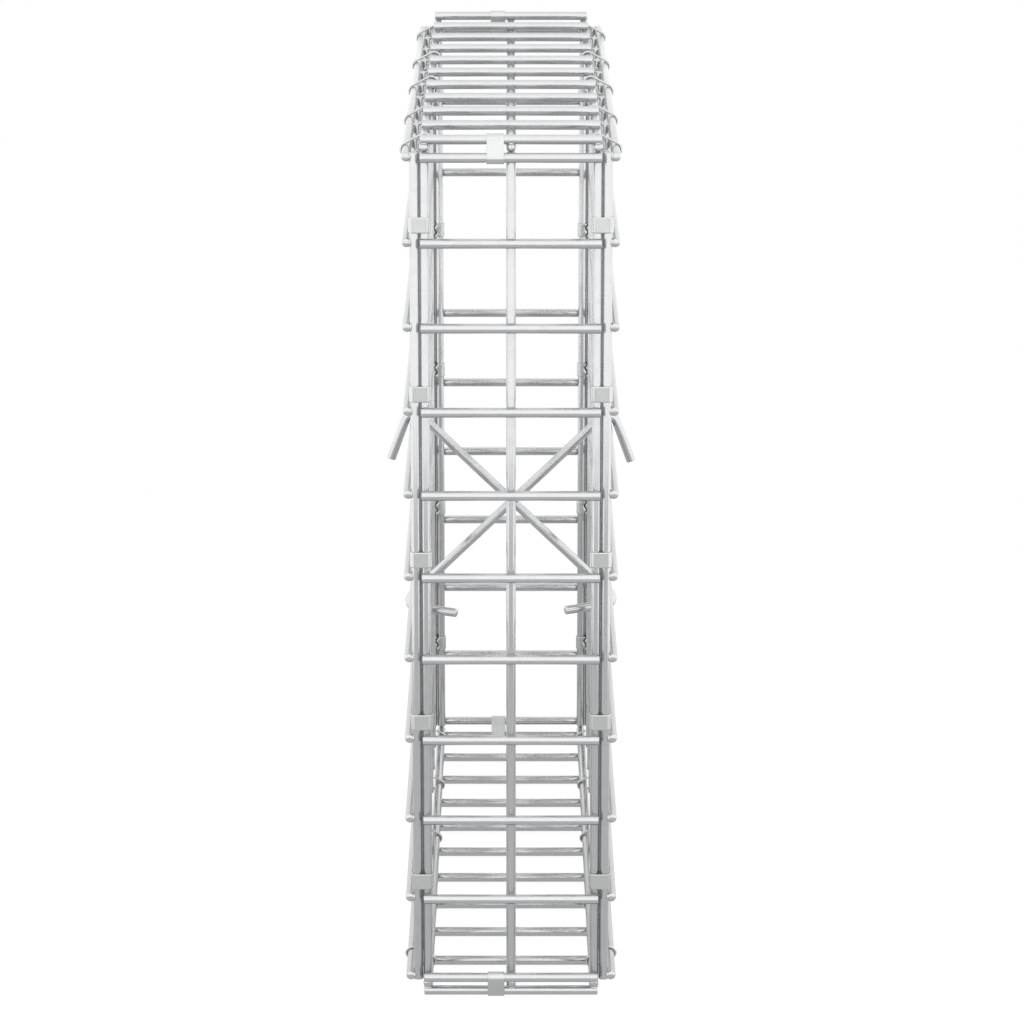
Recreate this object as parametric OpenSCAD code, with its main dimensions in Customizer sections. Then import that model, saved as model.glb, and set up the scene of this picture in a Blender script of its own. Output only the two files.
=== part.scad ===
// Gabion basket of welded mesh: six panels, held together by sheet clips and wire rings,
// with a pair of crossed tie rods that keep the long sides from bulging.
// The long way runs along Y, the width along X, and the basket stands on Z = 0.

/* [Mesh] */
// Diameter of the mesh wire
wire_d = 5.5; // [4.5:0.5:6]
// Pitch of the mesh, wire to wire
pitch = 50; // [46:1:60]
// Cells across the width
cells_x = 2; // [2:1:3]
// Cells along the length
cells_y = 10; // [10:1:14]
// Cells up the height
cells_z = 10; // [10:1:14]
// How far crossing wires sink into each other at a weld
weld_sink = 1; // [0.5:0.1:1.4]
// How far a wire runs on past the centre of the last wire it crosses
overhang = 2.3; // [2:0.1:2.7]

/* [Corner clips] */
// Clips on each upright corner
corner_clips = 5; // [3:1:5]
// Height of a corner clip
corner_clip_h = 9.5; // [6:0.5:12]
// Height of a corner clip's middle above the rung below it
corner_clip_rise = 10.5; // [9.5:0.5:14]
// Thickness of the clip sheet
clip_t = 0.7; // [0.6:0.1:1.2]
// Gap between the bent ends of a clip
clip_gap = 2.4; // [1:0.2:3]

/* [End clips] */
// Width of the clips that hold the cover and the floor to the end panels
end_clip_w = 10; // [6:0.5:14]
// Distance of those clips from the middle wire
end_clip_x = -9; // [-14:0.5:-9]
// How far an end clip is bent about each of its two rungs
end_clip_wrap = 130; // [110:5:160]

/* [Edge rings] */
// Thickness of the ring wire
ring_d = 1.6; // [1.4:0.1:2.4]
// Gap between the closed ends of a ring
ring_gap = 1.2; // [0.6:0.1:2]
// Places of the rings along the top edges, in cells from the front
top_ring_cells = [0.5, 2.5, 4.75, 6.8, 9.3];
// Places of the rings along the bottom edges, in cells from the front
bottom_ring_cells = [0.75, 2.75, 5.3, 7.5, 9.6];

/* [Tie rods] */
// Diameter of the tie rods
tie_d = 5.5; // [4.5:0.5:6]
// Place of the tie rods along the length, in cells from the front
tie_cell = 3.5; // [2.5:1:4.5]
// Bend radius of the lower hook, at the wire's centre
low_bend_r = 4.5; // [4:0.5:6]
// Straight length of the upper hook's tail
upper_tail = 27; // [15:1:35]
// Straight length of the lower hook's tail
lower_tail = 30; // [15:1:34]
// Lean of the upper tail away from the upright
upper_lean = 20; // [10:1:30]
// Turn of the lower tail towards the front
lower_turn = 28; // [0:1:30]
// How far the lower bend reaches past the centre of the side wire
lower_reach = 9; // [7:0.5:10]

/* [Hidden] */
fit = 0.3;
bar_sides = 8;
clip_numbers = [1 : 5];
arc_fn = 48;
// Largest turn between two straight pieces of a bent wire
bend_step = 30;
// Ball at such a turn, as a share of the wire's diameter
ball_cover = 1.05;
zinc = [0.80, 0.81, 0.82];
bright_zinc = [0.86, 0.87, 0.88];

// An eight-sided bar is wire_d across its flats
wire_corner_r = wire_d / 2 / cos(180 / bar_sides);
layer = wire_d - weld_sink;
half_x = cells_x * pitch / 2;
half_y = cells_y * pitch / 2;
mesh_h = cells_z * pitch;

// Heights: the end and side rungs start at base_z, the floor lies below it and the cover above
seat = overhang + fit + wire_d / 2;
floor_rung_drop = seat + layer;
clip_inner_r = to_hundredth(wire_corner_r + fit / 2);
base_z = floor_rung_drop + clip_inner_r + clip_t;
top_z = base_z + mesh_h;
mid_z = base_z + mesh_h / 2;
floor_wire_z = base_z - seat;
floor_rung_z = floor_wire_z - layer;
cover_wire_z = top_z + seat;
cover_rung_z = cover_wire_z + layer;

// The side panels stand against the outer uprights of the end panels
side_x = half_x + wire_d + fit;
side_rung_x = side_x + layer;
end_rung_y = half_y + layer;

// The tie rods cross between the middle rungs of the long sides
tie_y = -half_y + tie_cell * pitch;
tie_step = (tie_d + 2 * fit) / 2;
tie_bend_r = tie_d / 2 + wire_corner_r + fit;
tie_slope = atan2(pitch, side_rung_x) + asin(tie_bend_r / norm([pitch, side_rung_x]));
upper_hook_z = mid_z + pitch;

function unit(v) = v / norm(v);

function reversed(list) = [for (i = [len(list) - 1 : -1 : 0]) list[i]];

function to_hundredth(size) = round(size * 100) / 100;

// An eight-sided bar along Z, centred, with flats facing X and Y
module bar(length) {
    rotate([0, 0, 180 / bar_sides])
        cylinder(r = wire_corner_r, h = length, center = true, $fn = bar_sides);
}

module bar_x(length) {
    rotate([0, 90, 0])
        bar(length);
}

module bar_y(length) {
    rotate([90, 0, 0])
        bar(length);
}

// An end panel, seen at the front: uprights with the rungs outside them
module end_panel() {
    for (i = [0 : cells_x])
        translate([-half_x + i * pitch, -half_y, mid_z])
            bar(mesh_h + 2 * overhang);
    for (i = [0 : cells_z])
        translate([0, -end_rung_y, base_z + i * pitch])
            bar_x(2 * (half_x + overhang));
}

// A long side, seen on the right: uprights with the rungs outside them
module side_panel() {
    for (i = [0 : cells_y])
        translate([side_x, -half_y + i * pitch, mid_z])
            bar(mesh_h + 2 * overhang);
    for (i = [0 : cells_z])
        translate([side_rung_x, 0, base_z + i * pitch])
            bar_y(2 * (half_y + overhang));
}

// The cover and the floor: long wires with the rungs on their outer face
module flat_panel(wire_z, rung_z) {
    for (i = [0 : cells_x])
        translate([-half_x + i * pitch, 0, wire_z])
            bar_y(2 * (half_y + overhang));
    for (i = [0 : cells_y])
        translate([0, -half_y + i * pitch, rung_z])
            bar_x(2 * (half_x + overhang));
}

// A strip bent about two parallel wires along Z, span apart on X: a plate at -Y, and a bend at each wire
module bent_strip(span, inner_r, thickness, width, wrap) {
    translate([-span / 2, -inner_r - thickness, -width / 2])
        cube([span, thickness, width]);
    for (side = [0, 1])
        mirror([side, 0, 0])
            translate([span / 2, 0, 0])
                rotate([0, 0, -90])
                    rotate_extrude(angle = wrap, $fn = arc_fn)
                        translate([inner_r, -width / 2])
                            square([thickness, width]);
}

// Such a strip closed into a band, with a gap at +Y
module band(span, inner_r, thickness, width, gap) {
    leg = (span - gap) / 2;
    bent_strip(span, inner_r, thickness, width, 180);
    for (side = [0, 1])
        mirror([side, 0, 0])
            translate([span / 2 - leg, inner_r, -width / 2])
                cube([leg, thickness, width]);
}

// Corner clip number i, at the front right corner
module corner_clip(i) {
    cell = floor((i - 0.5) * cells_z / corner_clips);
    if (i <= corner_clips)
        translate([(half_x + side_x) / 2, -half_y, base_z + cell * pitch + corner_clip_rise])
            band(side_x - half_x, clip_inner_r, clip_t, corner_clip_h, clip_gap);
}

// End clip at the front top: it ties the cover's first rung to the end panel's top rung, with its
// plate outside them, or inside after half a turn
module end_clip(turn = 0) {
    rise = cover_rung_z - top_z;
    run = end_rung_y - half_y;
    span = to_hundredth(norm([rise, run]));
    translate([end_clip_x, -half_y - run / 2, top_z + rise / 2])
        rotate([-atan2(run, rise), 0, 0])
            rotate([0, -90, 0])
                rotate([0, 0, turn])
                    bent_strip(span, clip_inner_r, clip_t, end_clip_w, end_clip_wrap);
}

// The rings of the top right edge: they hold the cover's outer wire to the side's top rung
module edge_rings(cells) {
    run = side_rung_x - half_x;
    rise = cover_wire_z - top_z;
    span = to_hundredth(norm([rise, run]));
    for (cell = cells)
        translate([half_x + run / 2, -half_y + cell * pitch, top_z + rise / 2])
            rotate([0, atan2(rise, run), 0])
                rotate([-90, 0, 0])
                    band(span, clip_inner_r, ring_d, ring_d, ring_gap);
}

// Points where a bent wire turns, each by the same angle, so that its sides touch a circle of
// bend_r: the bend begins at a point, heads along one direction and turns into another
function bend_points(start, heading, next_heading, bend_r) =
    let (turn = acos(heading * next_heading),
         steps = ceil(turn / bend_step),
         step = turn / steps,
         inward = unit(next_heading - (next_heading * heading) * heading),
         centre = start + bend_r * inward)
    [for (i = [0 : steps - 1])
        let (angle = (i + 0.5) * step)
        centre + bend_r / cos(step / 2) * (heading * sin(angle) - inward * cos(angle))];

// Round wire along a list of points, with a ball at each turn
module wire_path(points) {
    last = len(points) - 1;
    setback = ball_cover * tie_d / 2 * tan(bend_step / 2);
    for (i = [0 : last - 1]) {
        way = points[i + 1] - points[i];
        from = i == 0 ? 0 : setback;
        to = i == last - 1 ? 0 : setback;
        translate(points[i])
            rotate([0, acos(way.z / norm(way)), atan2(way.y, way.x)])
                translate([0, 0, from])
                    cylinder(d = tie_d, h = norm(way) - from - to, $fn = arc_fn);
    }
    for (i = [1 : last - 1])
        translate(points[i])
            sphere(d = ball_cover * tie_d, $fn = arc_fn);
}

// A tie rod that falls from the left side to the right: its upper hook goes over a rung
// of the left side, and its lower hook turns back in under a rung of the right side
module tie_rod() {
    down = [cos(tie_slope), 0, -sin(tie_slope)];
    tail_up = [-sin(upper_lean), 0, -cos(upper_lean)];
    tail_low = [-cos(lower_turn), -sin(lower_turn), 0];
    hook = [-side_rung_x, 0, upper_hook_z];
    upper_start = hook + tie_bend_r * [sin(tie_slope), 0, cos(tie_slope)];
    low_corner = [0, 0, mid_z] + (side_rung_x + lower_reach) / cos(tie_slope) * down;
    low_start = low_corner - low_bend_r * tan(acos(down * tail_low) / 2) * down;
    upper_bend = bend_points(upper_start, -down, tail_up, tie_bend_r);
    low_bend = bend_points(low_start, down, tail_low, low_bend_r);
    upper_end = upper_bend[len(upper_bend) - 1] + upper_tail * tail_up;
    low_end = low_bend[len(low_bend) - 1] + lower_tail * tail_low;
    wire_path([upper_end, each reversed(upper_bend), each low_bend, low_end]);
}

// Copies to the other sides of the basket
module to_back() {
    mirror([0, 1, 0])
        children();
}

module to_left() {
    mirror([1, 0, 0])
        children();
}

module to_bottom() {
    translate([0, 0, 2 * mid_z])
        mirror([0, 0, 1])
            children();
}

module front_end_panel() {
    color(zinc)
        end_panel();
}

module back_end_panel() {
    color(zinc)
        to_back()
            end_panel();
}

module right_side_panel() {
    color(zinc)
        side_panel();
}

module left_side_panel() {
    color(zinc)
        to_left()
            side_panel();
}

module cover_panel() {
    color(zinc)
        flat_panel(cover_wire_z, cover_rung_z);
}

module floor_panel() {
    color(zinc)
        flat_panel(floor_wire_z, floor_rung_z);
}

module front_right_clip(i) {
    color(bright_zinc)
        corner_clip(i);
}

module front_left_clip(i) {
    color(bright_zinc)
        to_left()
            corner_clip(i);
}

module back_right_clip(i) {
    color(bright_zinc)
        to_back()
            corner_clip(i);
}

module back_left_clip(i) {
    color(bright_zinc)
        to_left()
            to_back()
                corner_clip(i);
}

module cover_front_clip() {
    color(bright_zinc)
        end_clip();
}

module cover_back_clip() {
    color(bright_zinc)
        to_back()
            end_clip(180);
}

module floor_front_clip() {
    color(bright_zinc)
        to_bottom()
            end_clip();
}

module floor_back_clip() {
    color(bright_zinc)
        to_bottom()
            to_back()
                end_clip(180);
}

module top_right_rings() {
    color(bright_zinc)
        edge_rings(top_ring_cells);
}

module top_left_rings() {
    color(bright_zinc)
        to_left()
            edge_rings(top_ring_cells);
}

module bottom_right_rings() {
    color(bright_zinc)
        to_bottom()
            edge_rings(bottom_ring_cells);
}

module bottom_left_rings() {
    color(bright_zinc)
        to_left()
            to_bottom()
                edge_rings(bottom_ring_cells);
}

module falling_tie_rod() {
    color(zinc)
        translate([0, tie_y + tie_step, 0])
            tie_rod();
}

module rising_tie_rod() {
    color(zinc)
        translate([0, tie_y - tie_step, 0])
            to_left()
                tie_rod();
}

front_end_panel();
back_end_panel();
left_side_panel();
right_side_panel();
cover_panel();
floor_panel();
for (i = clip_numbers) {
    front_left_clip(i);
    front_right_clip(i);
    back_left_clip(i);
    back_right_clip(i);
}
cover_front_clip();
cover_back_clip();
floor_front_clip();
floor_back_clip();
top_left_rings();
top_right_rings();
bottom_left_rings();
bottom_right_rings();
falling_tie_rod();
rising_tie_rod();
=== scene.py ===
"""Gabion basket of welded galvanised mesh: the looks of its wires, clips, rings and tie rods.

Lengths are in metres, in the frame of the CAD model: Y runs along the basket, X across it, and the
basket stands on Z = 0 with its front end at -Y.
"""

from math import acos, asin, atan2, cos, pi, radians, sin, tan
from random import Random

import bmesh
import bpy
from bpy.props import FloatProperty, FloatVectorProperty, IntProperty, PointerProperty
from mathutils import Matrix, Vector


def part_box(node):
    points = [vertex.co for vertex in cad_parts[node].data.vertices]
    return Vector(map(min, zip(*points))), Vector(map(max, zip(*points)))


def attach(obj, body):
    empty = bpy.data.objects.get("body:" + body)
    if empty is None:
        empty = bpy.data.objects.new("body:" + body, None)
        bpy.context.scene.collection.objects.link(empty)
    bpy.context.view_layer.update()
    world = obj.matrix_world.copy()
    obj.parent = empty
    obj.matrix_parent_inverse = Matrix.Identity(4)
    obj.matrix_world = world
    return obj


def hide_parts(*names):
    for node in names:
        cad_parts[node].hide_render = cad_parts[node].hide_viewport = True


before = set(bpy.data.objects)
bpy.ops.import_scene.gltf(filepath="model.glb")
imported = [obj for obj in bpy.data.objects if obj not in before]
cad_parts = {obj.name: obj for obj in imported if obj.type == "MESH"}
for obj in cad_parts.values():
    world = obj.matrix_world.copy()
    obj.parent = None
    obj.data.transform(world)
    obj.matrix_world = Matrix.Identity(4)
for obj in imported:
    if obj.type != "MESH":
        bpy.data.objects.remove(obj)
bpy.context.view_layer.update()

bl_info = {
    "name": "Gabion basket",
    "version": (1, 0, 0),
    "blender": (4, 5, 0),
    "location": "View3D > Sidebar > Gabion",
    "description": "Dresses the frame of a welded mesh basket with round wire, clips, rings and tie rods",
    "category": "Object",
}

MM = 0.001
X, Y, Z = Vector((1, 0, 0)), Vector((0, 1, 0)), Vector((0, 0, 1))
TURN_TO_AXIS = (Matrix.Rotation(pi / 2, 4, "Y"), Matrix.Rotation(pi / 2, 4, "X"), Matrix.Identity(4))
CORNERS = ("front_left", "front_right", "back_left", "back_right")
# Play between a clip or ring and the wires it holds
FIT = 0.05 * MM
# Edges that turn by more than this are sharp
SHARP_TURN = radians(50)
# Turn between two sections of a bend, about
BEND_STEP = radians(12)
# Faces across the rounding of a cut edge, and of a domed wire end
CUT_FACES, DOME_FACES = 2, 5
# Smallest and largest size of a weld, as shares of its size
WELD_SHARES = (0.92, 1.06)
# Half waves along the cut end of a corner clip
SEAM_HALF_WAVES = 3
# Half the side of the studio floor, which the walls of light stand clear of
FLOOR_HALF = 0.6
# Side of a square wall of light, its distance from the basket, and the height of the middle of the front and
# back walls and of the side walls, all of which start below the floor's level
WALL, WALL_AWAY, END_WALL_Z, SIDE_WALL_Z = 6, 3, 2.85, 1.9
# Camera: place, turn down from level, focal length and sensor in mm, and the small shift of its frame
CAMERA_AT = (0, -2.6277, 0.9325)
CAMERA_DOWN = radians(14.834)
CAMERA_LENS, CAMERA_SENSOR, CAMERA_SHIFT = 147.47, 36, 0.001


class MeshSizes(bpy.types.PropertyGroup):
    """Sizes of the welded mesh."""
    wire_d: FloatProperty(
        name="Wire", description="Diameter of the mesh wire", default=5.5 * MM, min=3 * MM, unit="LENGTH")
    overhang: FloatProperty(
        name="Overhang", description="How far a wire runs on past the last wire it crosses",
        default=2.3 * MM, min=0, unit="LENGTH")
    cells_x: IntProperty(name="Cells across", description="Mesh cells across the width", default=2, min=1)
    cells_y: IntProperty(name="Cells along", description="Mesh cells along the length", default=10, min=1)
    cells_z: IntProperty(name="Cells up", description="Mesh cells up the height", default=10, min=1)
    coat: FloatProperty(
        name="Zinc", description="Thickness of the zinc that a wire carries on top of its diameter",
        default=0.1 * MM, min=0, unit="LENGTH")
    sides: IntProperty(name="Sides", description="Sides of a round wire", default=24, min=8)
    cut_round: FloatProperty(
        name="Cut end", description="Rounding of the cut ends of rungs and uprights",
        default=0.5 * MM, min=0.1 * MM, unit="LENGTH")
    dome_round: FloatProperty(
        name="Domed end", description="Rounding of the ends of the wires that run along the basket",
        default=1.9 * MM, min=0.1 * MM, unit="LENGTH")
    weld_r: FloatProperty(
        name="Weld", description="Radius of the zinc-filled weld where two wires cross",
        default=2.8 * MM, min=0.5 * MM, unit="LENGTH")
    weld_t: FloatProperty(
        name="Weld depth", description="Half thickness of such a weld",
        default=1.2 * MM, min=0.5 * MM, unit="LENGTH")


class ClipSizes(bpy.types.PropertyGroup):
    """Sizes of the sheet clips and the wire rings."""
    sheet_t: FloatProperty(
        name="Sheet", description="Thickness of the clip sheet",
        default=0.7 * MM, min=0.3 * MM, unit="LENGTH")
    seam: FloatProperty(
        name="Seam", description="Gap between the bent ends of a clip",
        default=1.2 * MM, min=0.2 * MM, unit="LENGTH")
    seam_wave: FloatProperty(
        name="Seam wave", description="How far the two cut ends of a clip wave from side to side",
        default=0.9 * MM, min=0, unit="LENGTH")
    edge_round: FloatProperty(
        name="Edge", description="Rounding of the sheet's edges", default=0.28 * MM, min=0, unit="LENGTH")
    rows: IntProperty(name="Rows", description="Faces across the width of a clip", default=12, min=4)
    ring_d: FloatProperty(
        name="Ring wire", description="Thickness of the ring wire", default=1.5 * MM, min=MM, unit="LENGTH")
    ring_gap: FloatProperty(
        name="Ring gap", description="Gap between the closed ends of a ring",
        default=0.8 * MM, min=0.1 * MM, unit="LENGTH")
    ring_sides: IntProperty(name="Ring sides", description="Sides of the round ring wire", default=12, min=6)
    ring_cut: FloatProperty(
        name="Ring end", description="Rounding of the cut ends of a ring",
        default=0.2 * MM, min=0.05 * MM, unit="LENGTH")
    end_wrap: FloatProperty(
        name="End clip bend", description="How far an end clip is bent about each of its two rungs",
        default=radians(130), subtype="ANGLE")
    top_ring_cells: FloatVectorProperty(
        name="Top rings", description="Places of the rings along the top edges, in cells from the front",
        default=(0.5, 2.5, 4.75, 6.8, 9.3), size=5)
    bottom_ring_cells: FloatVectorProperty(
        name="Bottom rings",
        description="Places of the rings along the bottom edges, in cells from the front",
        default=(0.75, 2.75, 5.3, 7.5, 9.6), size=5)


class TieSizes(bpy.types.PropertyGroup):
    """Sizes of the crossed tie rods."""
    rod_d: FloatProperty(
        name="Rod", description="Diameter of the tie rods", default=5.5 * MM, min=3 * MM, unit="LENGTH")
    cell: FloatProperty(
        name="Place", description="Place of the rods along the length, in cells from the front", default=3.5)
    apart: FloatProperty(
        name="Apart", description="Distance of each rod from the plane between the two",
        default=3.05 * MM, min=0, unit="LENGTH")
    hook_r: FloatProperty(
        name="Upper bend", description="Radius of the bend over the side's rung, at the rod's middle",
        default=6.03 * MM, min=3 * MM, unit="LENGTH")
    low_r: FloatProperty(
        name="Lower bend", description="Radius of the lower bend, at the rod's middle",
        default=4.5 * MM, min=3 * MM, unit="LENGTH")
    reach: FloatProperty(
        name="Reach", description="How far the lower bend reaches past the side's rung",
        default=9 * MM, unit="LENGTH")
    upper_tail: FloatProperty(
        name="Upper tail", description="Straight length of the upper tail",
        default=27 * MM, min=MM, unit="LENGTH")
    lower_tail: FloatProperty(
        name="Lower tail", description="Straight length of the lower tail",
        default=30 * MM, min=MM, unit="LENGTH")
    upper_lean: FloatProperty(
        name="Upper lean", description="Lean of the upper tail away from the upright",
        default=radians(20), subtype="ANGLE")
    lower_turn: FloatProperty(
        name="Lower turn", description="Turn of the lower tail towards the front",
        default=radians(28), subtype="ANGLE")
    cut_round: FloatProperty(
        name="Cut end", description="Rounding of the rods' cut ends",
        default=0.4 * MM, min=0.1 * MM, unit="LENGTH")


def linear(hex_colour):
    """Linear RGB of an sRGB hex colour."""
    shares = [int(hex_colour[i:i + 2], 16) / 255 for i in (1, 3, 5)]
    return [s / 12.92 if s <= 0.04045 else ((s + 0.055) / 1.055) ** 2.4 for s in shares]


class Finishes(bpy.types.PropertyGroup):
    """Colours of the zinc finishes."""
    wire: FloatVectorProperty(
        name="Wire", description="Zinc on the mesh wire and the tie rods",
        default=linear("#ABACAD"), size=3, subtype="COLOR", min=0, max=1)
    wire_dull: FloatVectorProperty(
        name="Dull wire", description="The duller grains and clouds of that zinc",
        default=linear("#A5A6A7"), size=3, subtype="COLOR", min=0, max=1)
    sheet: FloatVectorProperty(
        name="Sheet", description="Zinc on the clips and the rings",
        default=linear("#AEAFAF"), size=3, subtype="COLOR", min=0, max=1)
    sheet_dull: FloatVectorProperty(
        name="Dull sheet", description="The duller grains of that zinc",
        default=linear("#A8A9A9"), size=3, subtype="COLOR", min=0, max=1)


def add_node(tree, kind, inputs, **settings):
    """Adds a node with its settings; an input is a value, or the output of another node."""
    node = tree.nodes.new(kind)
    for name, value in settings.items():
        setattr(node, name, value)
    for socket, value in inputs.items():
        if isinstance(value, bpy.types.NodeSocket):
            tree.links.new(value, node.inputs[socket])
        else:
            node.inputs[socket].default_value = value
    return node


def new_material(name):
    """An empty node material, and its output node."""
    material = bpy.data.materials.new(name)
    material.use_nodes = True
    material.node_tree.nodes.clear()
    return material, material.node_tree.nodes.new("ShaderNodeOutputMaterial")


def galvanised(name, colour, dull, grain, roughness):
    """Zinc coat: grains (crystals) of a given size that differ in tone and gloss, and a fine uneven skin."""
    if name in bpy.data.materials:
        return bpy.data.materials[name]
    material, output = new_material(name)
    tree = material.node_tree
    place = add_node(tree, "ShaderNodeTexCoord", {}).outputs["Object"]
    # The frozen crystals of the zinc, each with a tone of its own
    grains = add_node(tree, "ShaderNodeTexVoronoi", {"Vector": place, "Scale": 1 / grain, "Randomness": 1.0})
    tone = add_node(tree, "ShaderNodeSeparateColor", {"Color": grains.outputs["Color"]}).outputs["Red"]
    # Clouds of thicker and thinner zinc, about eight grains wide
    clouds = add_node(tree, "ShaderNodeTexNoise", {"Vector": place, "Scale": 1 / (8 * grain), "Detail": 3.0})
    mottle = add_node(tree, "ShaderNodeMath", {0: tone, 1: clouds.outputs["Fac"]},
                      operation="MULTIPLY").outputs[0]
    base = add_node(tree, "ShaderNodeMix", {0: mottle, 6: [*colour, 1], 7: [*dull, 1]},
                    data_type="RGBA").outputs[2]
    gloss = add_node(tree, "ShaderNodeMapRange",
                     {"Value": tone, "To Min": roughness - 0.01, "To Max": roughness + 0.01}).outputs[0]
    # The skin of the zinc: shallow pits and runs about 1.5 mm wide
    skin = add_node(tree, "ShaderNodeTexNoise", {"Vector": place, "Scale": 1 / (1.5 * MM), "Detail": 2.0})
    bump = add_node(tree, "ShaderNodeBump",
                    {"Height": skin.outputs["Fac"], "Strength": 0.003, "Distance": 0.2 * MM}).outputs[0]
    # Zinc grows a thin pale bloom of oxide in the air, so it isn't quite a bare metal
    shader = add_node(tree, "ShaderNodeBsdfPrincipled",
                      {"Base Color": base, "Roughness": gloss, "Normal": bump, "Metallic": 0.75})
    tree.links.new(shader.outputs[0], output.inputs["Surface"])
    return material


def dipped_wire():
    """Hot-dip galvanised steel wire: a pale grey metal with a satin sheen, and faint crystals of zinc."""
    finish = bpy.context.scene.gabion_finishes
    return galvanised("hot_dip_galvanised_wire", finish.wire, finish.wire_dull, grain=6 * MM, roughness=0.2)


def zinc_sheet():
    """Galvanised sheet steel, stamped and bent: a little paler and less glossy than the wire."""
    finish = bpy.context.scene.gabion_finishes
    return galvanised("galvanised_sheet", finish.sheet, finish.sheet_dull, grain=4 * MM, roughness=0.26)


def zinc_ring_wire():
    """Thin galvanised wire, drawn after its zinc bath: smooth, with small crystals."""
    finish = bpy.context.scene.gabion_finishes
    return galvanised("galvanised_ring_wire", finish.sheet, finish.sheet_dull, grain=2 * MM, roughness=0.2)


def finish_piece(bm, name, node, material):
    """Makes a bmesh the piece that stands for a CAD node."""
    bmesh.ops.recalc_face_normals(bm, faces=bm.faces)
    mesh = bpy.data.meshes.new(name)
    bm.to_mesh(mesh)
    bm.free()
    mesh.shade_smooth()
    mesh.set_sharp_from_angle(angle=SHARP_TURN)
    mesh.materials.append(material)
    piece = bpy.data.objects.new(name, mesh)
    bpy.context.scene.collection.objects.link(piece)
    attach(piece, "root")
    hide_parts(node)
    return piece


def lead_section(bm, edges, start, heading, legs):
    """Leads a section, a string or loop of edges, along straights and bends.

    Each leg is a straight length, the radius of the bend after it and the heading that the bend ends in,
    or None for the last two where the way ends. Returns the edges of the far end.
    """
    at, heading = Vector(start), Vector(heading)
    for length, bend_r, turn_to in legs:
        if length > 0:
            made = bmesh.ops.extrude_edge_only(bm, edges=edges)["geom"]
            verts = [v for v in made if isinstance(v, bmesh.types.BMVert)]
            bmesh.ops.translate(bm, verts=verts, vec=heading * length)
            edges = far_edges(made, verts)
            at = at + heading * length
        if turn_to is None:
            continue
        turn_to = Vector(turn_to)
        turn = acos(max(-1, min(1, heading.dot(turn_to))))
        inward = (turn_to - heading * heading.dot(turn_to)).normalized()
        axis = heading.cross(turn_to).normalized()
        centre = at + inward * bend_r
        verts = list({v for edge in edges for v in edge.verts})
        made = bmesh.ops.spin(bm, geom=verts + edges, cent=centre, axis=axis, angle=turn,
                              steps=max(3, round(turn / BEND_STEP)), use_merge=False)["geom_last"]
        edges = [e for e in made if isinstance(e, bmesh.types.BMEdge)]
        at = centre + Matrix.Rotation(turn, 3, axis) @ (at - centre)
        heading = turn_to
    return edges


def far_edges(made, verts):
    """The edges of an extrusion that lie wholly on its new vertices."""
    new = set(verts)
    return [e for e in made if isinstance(e, bmesh.types.BMEdge) and e.verts[0] in new and e.verts[1] in new]


def bent_wire(bm, start, heading, legs, radius, sides, cut_round):
    """A round wire along straights and bends, with cut ends."""
    heading = Vector(heading)
    turned = Matrix.Translation(start) @ heading.to_track_quat("Z", "Y").to_matrix().to_4x4()
    ring = bmesh.ops.create_circle(bm, cap_ends=False, radius=radius, segments=sides, matrix=turned)["verts"]
    near = list({e for v in ring for e in v.link_edges})
    far = lead_section(bm, near, start, heading, legs)
    for loop in (near, far):
        bmesh.ops.contextual_create(bm, geom=loop)
        bmesh.ops.bevel(bm, geom=loop, offset=cut_round, segments=CUT_FACES, profile=0.5, affect="EDGES",
                        material=-1, offset_type="OFFSET")


def straight_wire(bm, axis, middle, length, radius, sides):
    """A straight round wire along an axis; returns the edges of its two ends."""
    turned = Matrix.Translation(middle) @ TURN_TO_AXIS[axis]
    verts = bmesh.ops.create_cone(bm, cap_ends=True, segments=sides, radius1=radius, radius2=radius,
                                  depth=length, matrix=turned)["verts"]
    faces = {f for v in verts for f in v.link_faces}
    return [e for f in faces if len(f.verts) > 4 for e in f.edges]


def welded_panel(name, thin, out, standing, rung):
    """A panel of wires along one axis, with rungs along another welded to their outer side.

    thin is the axis of the panel's thickness, out the side of it that the rungs are on, and standing and rung
    are each an axis, the number of cells that such wires are spread over and the rounding of their ends.
    """
    sizes = bpy.context.scene.gabion_mesh
    standing_axis, standing_cells, standing_round = standing
    rung_axis, rung_cells, rung_round = rung
    r = sizes.wire_d / 2
    low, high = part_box(name)
    inner, outer = (low[thin] + r, high[thin] - r) if out > 0 else (high[thin] - r, low[thin] + r)
    chance = Random(name)
    bm = bmesh.new()

    def spread(axis, cells):
        span = high[axis] - low[axis] - 2 * r
        return [low[axis] + r + span * i / cells for i in range(cells + 1)]

    def lay(depth, along, across, cells, end_round):
        ends = []
        length = high[along] - low[along] - 2 * (r - sizes.overhang)
        for place in spread(across, cells):
            middle = Vector()
            middle[thin], middle[across], middle[along] = depth, place, (low[along] + high[along]) / 2
            ends += straight_wire(bm, along, middle, length, r + sizes.coat, sizes.sides)
        segments = CUT_FACES if end_round < r / 2 else DOME_FACES
        bmesh.ops.bevel(bm, geom=ends, offset=end_round, segments=segments, profile=0.5, affect="EDGES",
                        material=-1, offset_type="OFFSET")

    lay(inner, standing_axis, rung_axis, standing_cells, standing_round)
    lay(outer, rung_axis, standing_axis, rung_cells, rung_round)
    for across in spread(rung_axis, standing_cells):
        for along in spread(standing_axis, rung_cells):
            middle = Vector()
            middle[thin], middle[rung_axis], middle[standing_axis] = (inner + outer) / 2, across, along
            size = Vector((1, 1, 1)) * sizes.weld_r * chance.uniform(*WELD_SHARES)
            size[thin] = sizes.weld_t * chance.uniform(*WELD_SHARES)
            bmesh.ops.create_icosphere(bm, subdivisions=2, radius=1,
                                       matrix=Matrix.Translation(middle) @ Matrix.Diagonal(size).to_4x4())
    finish_piece(bm, f"{name}_wires", name, dipped_wire())


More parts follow.
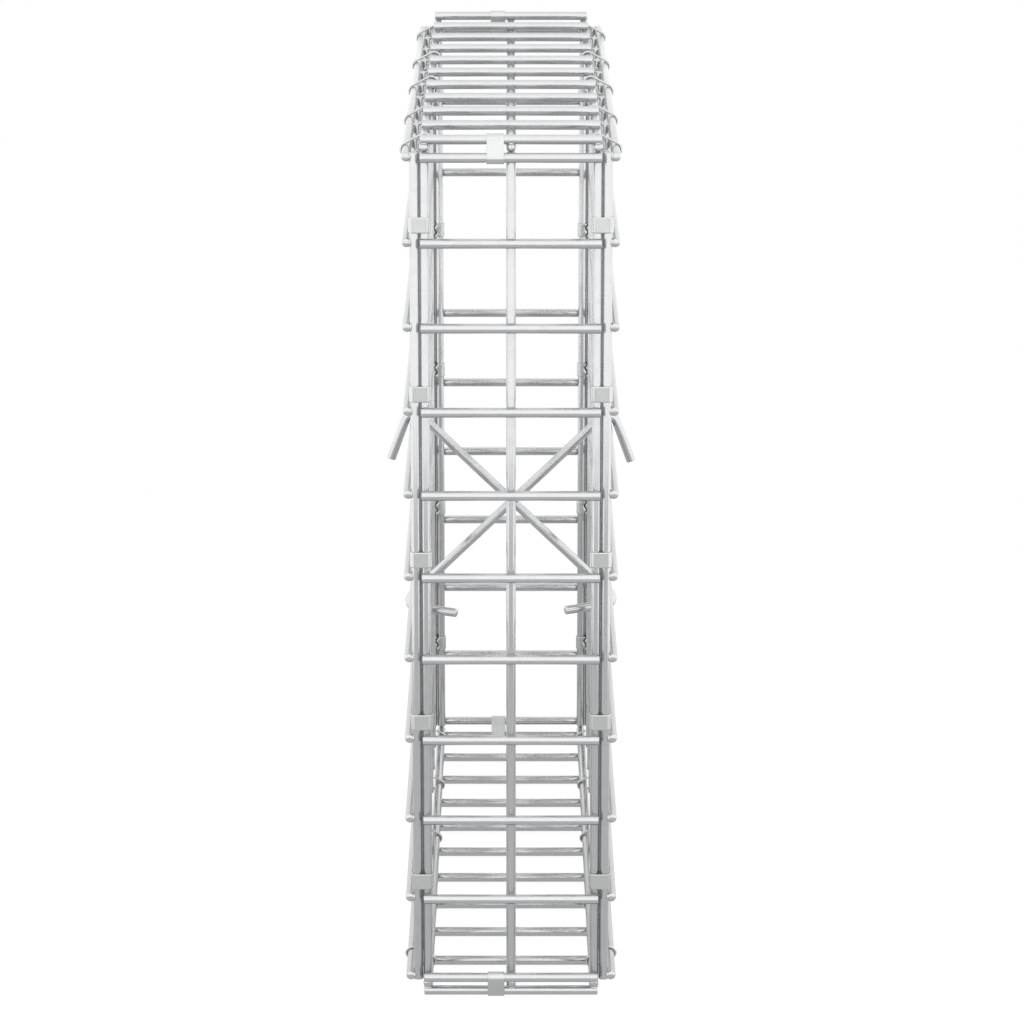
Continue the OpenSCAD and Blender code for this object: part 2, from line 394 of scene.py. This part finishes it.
class GABION_OT_end_panels(bpy.types.Operator):
    """Makes the front and back end panels: uprights with the rungs outside them"""
    bl_idname = "gabion.end_panels"
    bl_label = "End panels"

    def execute(self, context):
        sizes = context.scene.gabion_mesh
        for name, out in (("front_end_panel", -1), ("back_end_panel", 1)):
            welded_panel(name, thin=1, out=out,
                         standing=(2, sizes.cells_x, sizes.cut_round),
                         rung=(0, sizes.cells_z, sizes.cut_round))
        return {"FINISHED"}


class GABION_OT_side_panels(bpy.types.Operator):
    """Makes the two long sides: uprights with the rungs outside them"""
    bl_idname = "gabion.side_panels"
    bl_label = "Side panels"

    def execute(self, context):
        sizes = context.scene.gabion_mesh
        for name, out in (("left_side_panel", -1), ("right_side_panel", 1)):
            welded_panel(name, thin=0, out=out,
                         standing=(2, sizes.cells_y, sizes.cut_round),
                         rung=(1, sizes.cells_z, sizes.dome_round))
        return {"FINISHED"}


class GABION_OT_cover_and_floor(bpy.types.Operator):
    """Makes the cover and the floor: long wires with the rungs on their outer face"""
    bl_idname = "gabion.cover_and_floor"
    bl_label = "Cover and floor"

    def execute(self, context):
        sizes = context.scene.gabion_mesh
        for name, out in (("cover_panel", 1), ("floor_panel", -1)):
            welded_panel(name, thin=2, out=out,
                         standing=(1, sizes.cells_x, sizes.dome_round),
                         rung=(0, sizes.cells_y, sizes.cut_round))
        return {"FINISHED"}


def about_two_wires(span, bend_r, gap):
    """The way about two wires along Z, span apart on X: start, heading and legs, with a gap at +Y."""
    leg = (span - gap) / 2
    legs = [(leg, bend_r, -Y), (0, bend_r, -X), (span, bend_r, Y), (0, bend_r, X), (leg, None, None)]
    return Vector((gap / 2, bend_r, 0)), X, legs


def open_about_two_wires(span, bend_r, wrap):
    """The same way where it only goes a part of the way round each wire, and is open at +Y."""
    first = Matrix.Rotation(wrap, 3, "Z") @ -X
    last = Matrix.Rotation(-wrap, 3, "Z") @ -X
    start = Vector((span / 2, 0, 0)) + bend_r * Vector((-first.y, first.x, 0))
    legs = [(0, bend_r, -X), (span, bend_r, last)]
    return start, first, legs


def middle_of(name):
    """The middle of a CAD node's box."""
    low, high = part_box(name)
    return (Vector(low) + Vector(high)) / 2


def sheet_clip(name, placed, width, way, wave):
    """A clip of sheet bent along a way about two wires, with its cut ends waved from side to side."""
    sizes = bpy.context.scene.gabion_clips
    start, heading, legs = way
    bm = bmesh.new()
    tip = bmesh.ops.create_vert(bm, co=start - Z * width / 2)["vert"]
    near = []
    for _ in range(sizes.rows):
        made = bmesh.ops.extrude_vert_indiv(bm, verts=tip)
        tip = made["verts"]
        near += made["edges"]
        bmesh.ops.translate(bm, verts=tip, vec=Z * width / sizes.rows)
    far = lead_section(bm, near, start, heading, legs)
    for vert in {v for edge in near + far for v in edge.verts}:
        vert.co.x += wave * sin(SEAM_HALF_WAVES * pi * vert.co.z / width)
    bmesh.ops.transform(bm, verts=bm.verts, matrix=placed)
    piece = finish_piece(bm, f"{name}_sheet", name, zinc_sheet())
    wall = piece.modifiers.new("wall", "SOLIDIFY")
    wall.thickness = sizes.sheet_t
    wall.offset = 0
    edge = piece.modifiers.new("edge", "BEVEL")
    edge.width = sizes.edge_round
    edge.segments = CUT_FACES
    edge.limit_method = "ANGLE"
    edge.angle_limit = SHARP_TURN


def clip_bend_r():
    """Radius of a clip's bends about a wire, at the middle of its sheet."""
    mesh = bpy.context.scene.gabion_mesh
    return mesh.wire_d / 2 + mesh.coat + bpy.context.scene.gabion_clips.sheet_t / 2 + FIT


class GABION_OT_corner_clips(bpy.types.Operator):
    """Makes the clips that hold the end panels to the sides, with their seams inside"""
    bl_idname = "gabion.corner_clips"
    bl_label = "Corner clips"

    def execute(self, context):
        sizes = context.scene.gabion_clips
        names = [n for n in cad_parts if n.split("_clip_")[0] in CORNERS]
        for name in names:
            low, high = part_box(name)
            placed = (Matrix.Translation(middle_of(name))
                      @ Matrix.Rotation(pi if name.startswith("back") else 0, 4, "Z"))
            way = about_two_wires((high[0] - low[0]) - (high[1] - low[1]), clip_bend_r(), sizes.seam)
            sheet_clip(name, placed, high[2] - low[2], way, sizes.seam_wave)
        return {"FINISHED"}


class GABION_OT_end_clips(bpy.types.Operator):
    """Makes the clips that hold the cover and the floor to the ends, each with its plate to the front"""
    bl_idname = "gabion.end_clips"
    bl_label = "End clips"

    def execute(self, context):
        cover_low, cover_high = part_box("cover_panel")
        end_low, end_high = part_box("front_end_panel")
        rise, run = cover_high[2] - end_high[2], cover_low[1] - end_low[1]
        lean = Matrix.Rotation(-atan2(run, rise), 4, "X") @ Matrix.Rotation(-pi / 2, 4, "Y")
        wrap = context.scene.gabion_clips.end_wrap
        way = open_about_two_wires(Vector((rise, run)).length, clip_bend_r(), wrap)
        middle = Vector((0, (cover_low[1] + end_low[1]) / 2, (cover_high[2] + end_high[2]) / 2))
        middle += (Y - Z) * context.scene.gabion_mesh.wire_d / 2
        middle_z = (end_low[2] + end_high[2]) / 2
        flips = {"cover_front_clip": Matrix.Identity(4),
                 "cover_back_clip": Matrix.Rotation(pi, 4, "Z"),
                 "floor_front_clip": Matrix.Rotation(pi, 4, "Y"),
                 "floor_back_clip": Matrix.Rotation(pi, 4, "X")}
        inside = Matrix.Rotation(pi, 4, "Z")
        for name, flip in flips.items():
            low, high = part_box(name)
            place = flip @ Vector((0, middle.y, middle.z - middle_z))
            place += Vector(((low[0] + high[0]) / 2, 0, middle_z))
            placed = Matrix.Translation(place) @ flip @ lean
            sheet_clip(name, placed @ inside if "back" in name else placed, high[0] - low[0], way, 0)
        return {"FINISHED"}


class GABION_OT_edge_rings(bpy.types.Operator):
    """Makes the wire rings that hold the cover and the floor to the sides, with their gaps inside"""
    bl_idname = "gabion.edge_rings"
    bl_label = "Edge rings"

    def execute(self, context):
        sizes, mesh = context.scene.gabion_clips, context.scene.gabion_mesh
        r = mesh.wire_d / 2
        cover_low, cover_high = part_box("cover_panel")
        side_low, side_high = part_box("right_side_panel")
        rise, run = cover_low[2] - side_high[2] + 2 * r, side_high[0] - cover_high[0]
        bend_r = r + mesh.coat + sizes.ring_d / 2 + FIT
        start, heading, legs = about_two_wires(Vector((rise, run)).length, bend_r, sizes.ring_gap)
        turned = Matrix.Rotation(atan2(rise, run), 4, "Y") @ Matrix.Rotation(-pi / 2, 4, "X")
        front, back = side_low[1] + r, side_high[1] - r
        middle_z = (side_low[2] + side_high[2]) / 2
        for level, cells in ((1, sizes.top_ring_cells), (-1, sizes.bottom_ring_cells)):
            for hand in (-1, 1):
                bm = bmesh.new()
                for cell in cells:
                    ring = bmesh.new()
                    bent_wire(ring, start, heading, legs, sizes.ring_d / 2, sizes.ring_sides,
                              sizes.ring_cut)
                    place = Vector((side_high[0] - r - run / 2, front + (back - front) * cell / mesh.cells_y,
                                    side_high[2] - r + rise / 2 - middle_z))
                    bmesh.ops.transform(ring, verts=ring.verts, matrix=Matrix.Translation(place) @ turned)
                    add_to(bm, ring)
                flip = Matrix.Translation((0, 0, middle_z)) @ Matrix.Diagonal((hand, 1, level, 1))
                bmesh.ops.transform(bm, verts=bm.verts, matrix=flip)
                name = f"{'top' if level > 0 else 'bottom'}_{'right' if hand > 0 else 'left'}_rings"
                finish_piece(bm, f"{name}_wire", name, zinc_ring_wire())
        return {"FINISHED"}


class GABION_OT_tie_rods(bpy.types.Operator):
    """Makes the crossed tie rods: a hook over a rung at the top, and a tail turned back in at the bottom"""
    bl_idname = "gabion.tie_rods"
    bl_label = "Tie rods"

    def execute(self, context):
        sizes, mesh = context.scene.gabion_tie, context.scene.gabion_mesh
        r = mesh.wire_d / 2
        low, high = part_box("right_side_panel")
        rung_x, middle_z = high[0] - r, (low[2] + high[2]) / 2
        pitch = (high[2] - low[2] - 2 * r) / mesh.cells_z
        front = low[1] + r
        slope = atan2(pitch, rung_x) + asin(sizes.hook_r / Vector((pitch, rung_x)).length)
        down = Vector((cos(slope), 0, -sin(slope)))
        tail_up = Vector((-sin(sizes.upper_lean), 0, -cos(sizes.upper_lean)))
        tail_low = Vector((-cos(sizes.lower_turn), -sin(sizes.lower_turn), 0))
        hook = Vector((-rung_x, 0, pitch))
        bend_end = hook + sizes.hook_r * Vector((sin(slope), 0, cos(slope)))
        bend_start = hook + sizes.hook_r * Vector((-cos(sizes.upper_lean), 0, sin(sizes.upper_lean)))
        setback = sizes.low_r * tan(down.angle(tail_low) / 2)
        low_corner = down * (rung_x + sizes.reach) / cos(slope)
        legs = [(sizes.upper_tail, sizes.hook_r, down),
                ((low_corner - bend_end).length - setback, sizes.low_r, tail_low),
                (sizes.lower_tail, None, None)]
        for name, hand, step in (("falling_tie_rod", 1, sizes.apart), ("rising_tie_rod", -1, -sizes.apart)):
            bm = bmesh.new()
            start = bend_start + tail_up * sizes.upper_tail
            bent_wire(bm, start, -tail_up, legs, sizes.rod_d / 2, mesh.sides, sizes.cut_round)
            place = Matrix.Translation((0, front + pitch * sizes.cell + step, middle_z))
            bmesh.ops.transform(bm, verts=bm.verts, matrix=place @ Matrix.Diagonal((hand, 1, 1, 1)))
            finish_piece(bm, f"{name}_wire", name, dipped_wire())
        return {"FINISHED"}


def add_to(bm, other):
    """Moves the shapes of one bmesh into another."""
    mesh = bpy.data.meshes.new("shapes")
    other.to_mesh(mesh)
    other.free()
    bm.from_mesh(mesh)
    bpy.data.meshes.remove(mesh)


def seen_or_mirrored(tree):
    """An output that is 1 where the camera looks, or a surface that mirrors or passes light, and else 0."""
    path = add_node(tree, "ShaderNodeLightPath", {})
    seen = path.outputs["Is Camera Ray"]
    for way in ("Is Glossy Ray", "Is Transmission Ray"):
        seen = add_node(tree, "ShaderNodeMath", {0: seen, 1: path.outputs[way]},
                        operation="MAXIMUM").outputs[0]
    return seen


def pale_floor():
    """Matt pale studio floor: white in the picture and in the metal, with the basket's soft shadow on it."""
    material, output = new_material("matt_studio_floor")
    tree = material.node_tree
    seen = seen_or_mirrored(tree)
    grey = add_node(tree, "ShaderNodeBsdfDiffuse", {"Color": [*linear("#585858"), 1]})
    white = add_node(tree, "ShaderNodeBsdfDiffuse", {"Color": [*linear("#505050"), 1]})
    glow = add_node(tree, "ShaderNodeEmission", {"Color": [1, 1, 1, 1], "Strength": 0.94})
    shown = add_node(tree, "ShaderNodeAddShader", {0: white.outputs[0], 1: glow.outputs[0]})
    mix = add_node(tree, "ShaderNodeMixShader", {0: seen, 1: grey.outputs[0], 2: shown.outputs[0]})
    tree.links.new(mix.outputs[0], output.inputs["Surface"])
    return material


def studio_world():
    """Soft even light from all round, and white where the camera or the metal sees past the floor."""
    world = bpy.data.worlds.new("studio")
    bpy.context.scene.world = world
    world.use_nodes = True
    tree = world.node_tree
    tree.nodes.clear()
    seen = seen_or_mirrored(tree)
    soft = add_node(tree, "ShaderNodeBackground", {"Color": [1, 1, 1, 1], "Strength": 0.28})
    white = add_node(tree, "ShaderNodeBackground", {"Color": [1, 1, 1, 1], "Strength": 1.0})
    mix = add_node(tree, "ShaderNodeMixShader", {0: seen, 1: soft.outputs[0], 2: white.outputs[0]})
    output = tree.nodes.new("ShaderNodeOutputWorld")
    tree.links.new(mix.outputs[0], output.inputs["Surface"])


def soft_box(name, place, aim, power):
    """A square wall of soft light that faces a point, with its power in watts."""
    lamp = bpy.data.lights.new(name, "AREA")
    lamp.size = WALL
    lamp.energy = power
    light = bpy.data.objects.new(name, lamp)
    light.location = place
    light.rotation_euler = (Vector(aim) - Vector(place)).to_track_quat("-Z", "Y").to_euler()
    bpy.context.scene.collection.objects.link(light)


class GABION_OT_stage(bpy.types.Operator):
    """Sets the floor, the lights and the camera"""
    bl_idname = "gabion.stage"
    bl_label = "Stage"

    def execute(self, context):
        scene = context.scene
        bm = bmesh.new()
        bmesh.ops.create_grid(bm, x_segments=1, y_segments=1, size=FLOOR_HALF)
        mesh = bpy.data.meshes.new("studio_floor")
        bm.to_mesh(mesh)
        bm.free()
        mesh.materials.append(pale_floor())
        floor = bpy.data.objects.new("studio_floor", mesh)
        scene.collection.objects.link(floor)
        studio_world()
        # The wires mirror the walls of light as broad bands
        soft_box("front_light", (0, -WALL_AWAY, END_WALL_Z), (0, 0, END_WALL_Z), 158)
        soft_box("back_light", (0, WALL_AWAY, END_WALL_Z), (0, 0, END_WALL_Z), 45)
        soft_box("left_light", (-WALL_AWAY, 0, SIDE_WALL_Z), (0, 0, SIDE_WALL_Z), 145)
        soft_box("right_light", (WALL_AWAY, 0, SIDE_WALL_Z), (0, 0, SIDE_WALL_Z), 145)
        soft_box("top_light", (0, 0, END_WALL_Z + WALL / 2), (0, 0, 0), 112)

        lens = bpy.data.cameras.new("camera")
        lens.lens = CAMERA_LENS
        lens.sensor_width = CAMERA_SENSOR
        lens.shift_x = CAMERA_SHIFT
        camera = bpy.data.objects.new("camera", lens)
        camera.location = CAMERA_AT
        camera.rotation_euler = (pi / 2 - CAMERA_DOWN, 0, 0)
        scene.collection.objects.link(camera)
        scene.camera = camera
        scene.view_settings.view_transform = "Standard"
        return {"FINISHED"}


class GABION_PT_basket(bpy.types.Panel):
    """Lists the basket's pieces and sizes"""
    bl_label = "Gabion basket"
    bl_idname = "GABION_PT_basket"
    bl_space_type = "VIEW_3D"
    bl_region_type = "UI"
    bl_category = "Gabion"

    def draw(self, context):
        for name in GROUPS:
            group = getattr(context.scene, name)
            column = self.layout.column()
            for size in group.__annotations__:
                column.prop(group, size)
        for operator in OPERATORS:
            self.layout.operator(operator.bl_idname)


GROUPS = {"gabion_mesh": MeshSizes, "gabion_clips": ClipSizes, "gabion_tie": TieSizes,
          "gabion_finishes": Finishes}
OPERATORS = (GABION_OT_end_panels, GABION_OT_side_panels, GABION_OT_cover_and_floor, GABION_OT_corner_clips,
             GABION_OT_end_clips, GABION_OT_edge_rings, GABION_OT_tie_rods, GABION_OT_stage)


def register():
    for item in (*GROUPS.values(), *OPERATORS, GABION_PT_basket):
        bpy.utils.register_class(item)
    for name, group in GROUPS.items():
        setattr(bpy.types.Scene, name, PointerProperty(type=group))


def unregister():
    for name in GROUPS:
        delattr(bpy.types.Scene, name)
    for item in (GABION_PT_basket, *OPERATORS, *GROUPS.values()):
        bpy.utils.unregister_class(item)


def main():
    register()
    bpy.ops.gabion.end_panels()
    bpy.ops.gabion.side_panels()
    bpy.ops.gabion.cover_and_floor()
    bpy.ops.gabion.corner_clips()
    bpy.ops.gabion.end_clips()
    bpy.ops.gabion.edge_rings()
    bpy.ops.gabion.tie_rods()
    bpy.ops.gabion.stage()


if __name__ == "__main__":
    main()
